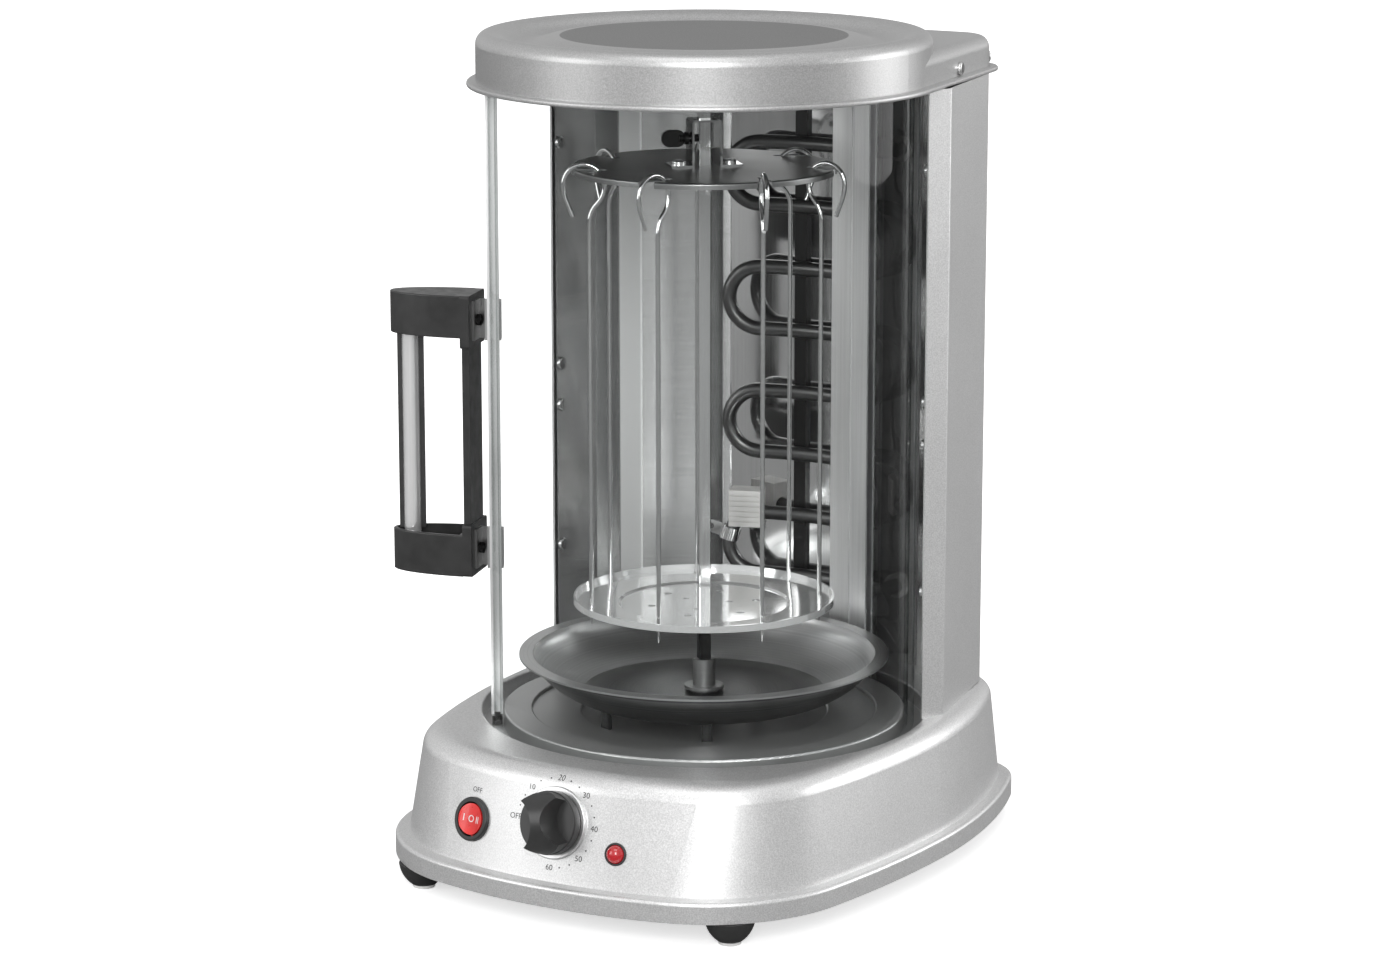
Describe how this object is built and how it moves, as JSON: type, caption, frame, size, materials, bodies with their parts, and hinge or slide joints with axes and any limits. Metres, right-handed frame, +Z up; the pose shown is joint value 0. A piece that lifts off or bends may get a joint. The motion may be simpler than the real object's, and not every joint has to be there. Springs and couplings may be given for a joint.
{
  "type": "rotisserie oven",
  "caption": "Vertical electric rotisserie oven: round rotating glass door with a handle, hanging skewers round a driven spit, wall-mounted heating element, drip pan and timer base.",
  "frame": {"origin": "middle of the whole outline in plan, on the floor that the foot pads stand on", "axes": "+Z up along the spit, -Y towards the controls, +X to the right of someone facing the controls"},
  "size_m": [0.2916, 0.3287, 0.441],
  "materials": {
    "silver_paint": "fine silver metallic paint",
    "satin_silver": "satin ring",
    "plated_sheet": "plated sheet",
    "black_rubber": "matt",
    "white_pad": "matt",
    "black_plastic": "satin moulding",
    "red_plastic": "gloss moulding",
    "red_lens": "clear red lens",
    "white_ceramic": "unglazed ceramic",
    "mirror_steel": "bright polished sheet",
    "polished_steel": "polished stainless",
    "element_sheath": "steel tube",
    "trim_steel": "satin strip",
    "clear_glass": "clear tempered",
    "chrome": "chromed tube",
    "bronze": "plain bearing",
    "zinc_screws": "bright zinc",
    "black_oxide": "blackened steel"
  },
  "bodies": {
    "chassis": {"base_housing": "silver_paint", "top_cover": "silver_paint", "right_panel": "silver_paint", "left_panel": "silver_paint", "back_panel": "silver_paint", "dial_ring": "satin_silver", "bottom_plate": "plated_sheet", "ceiling_plate": "plated_sheet", "element_support": "plated_sheet", "gearbox_case": "plated_sheet", "gear_motor": "plated_sheet", "feet": "black_rubber", "pan_studs": "black_rubber", "foot_pads": "white_pad", "timer_body": "black_plastic", "switch_body": "black_plastic", "lamp_bezel": "black_plastic", "cord_gland": "black_plastic", "lamp_lens": "red_lens", "terminal_block": "white_ceramic", "ceramic_block": "white_ceramic", "element_bushes": "white_ceramic", "right_liner": "mirror_steel", "left_liner": "mirror_steel", "back_reflector": "mirror_steel", "drip_pan": "polished_steel", "element_clip": "polished_steel", "heating_element": "element_sheath", "drive_bush": "bronze", "spit_bush": "bronze", "housing_screws": "zinc_screws"},
    "door": {"door_glass": "clear_glass", "leading_trim": "trim_steel", "trailing_trim": "trim_steel", "door_shoes": "black_plastic", "handle_frame": "black_plastic", "handle_caps": "black_plastic", "grip_tube": "chrome", "grip_back": "black_plastic", "handle_clamps": "trim_steel", "handle_screws": "black_oxide"},
    "spit": {"drive_shaft": "polished_steel", "drive_sleeve": "polished_steel", "spit_rod": "polished_steel", "lower_plate": "polished_steel", "plate_clip": "polished_steel"},
    "disc": {"top_disc": "polished_steel", "disc_bracket": "polished_steel", "bracket_screws": "zinc_screws", "skewer_1": "polished_steel", "skewer_2": "polished_steel", "skewer_3": "polished_steel", "skewer_4": "polished_steel", "skewer_5": "polished_steel", "skewer_6": "polished_steel", "skewer_7": "polished_steel"},
    "thumb": {"thumbscrew": "black_oxide"},
    "timer": {"timer_knob": "black_plastic", "timer_shaft": "polished_steel"},
    "switch": {"rocker": "red_plastic"}
  },
  "joints": [
    {"name": "door_turn", "type": "hinge", "parent": "chassis", "child": "door", "pos_m": [0.0048, 0.0091, 0], "axis": [0, 0, 1], "range_deg": [-36, 150]},
    {"name": "spit_spin", "type": "hinge", "parent": "chassis", "child": "spit", "pos_m": [0.0048, 0.0091, 0], "axis": [0, 0, 1], "continuous": true},
    {"name": "disc_slide", "type": "slide", "parent": "spit", "child": "disc", "axis": [0, 0, 1], "range_m": [-0.03, 0.008]},
    {"name": "thumbscrew_turn", "type": "hinge", "parent": "disc", "child": "thumb", "pos_m": [-0.0011, 0.00369, 0.385], "axis": [-0.7373, -0.6756, 0], "continuous": true},
    {"name": "timer_turn", "type": "hinge", "parent": "chassis", "child": "timer", "pos_m": [0.0048, -0.14302, 0.0535], "axis": [0, -0.9679, 0.2512], "range_deg": [-180, 90]},
    {"name": "switch_rock", "type": "hinge", "parent": "chassis", "child": "switch", "pos_m": [-0.04679, -0.13736, 0.046], "axis": [0.0534, 0.2455, 0.9679], "range_deg": [-9, 9]}
  ]
}
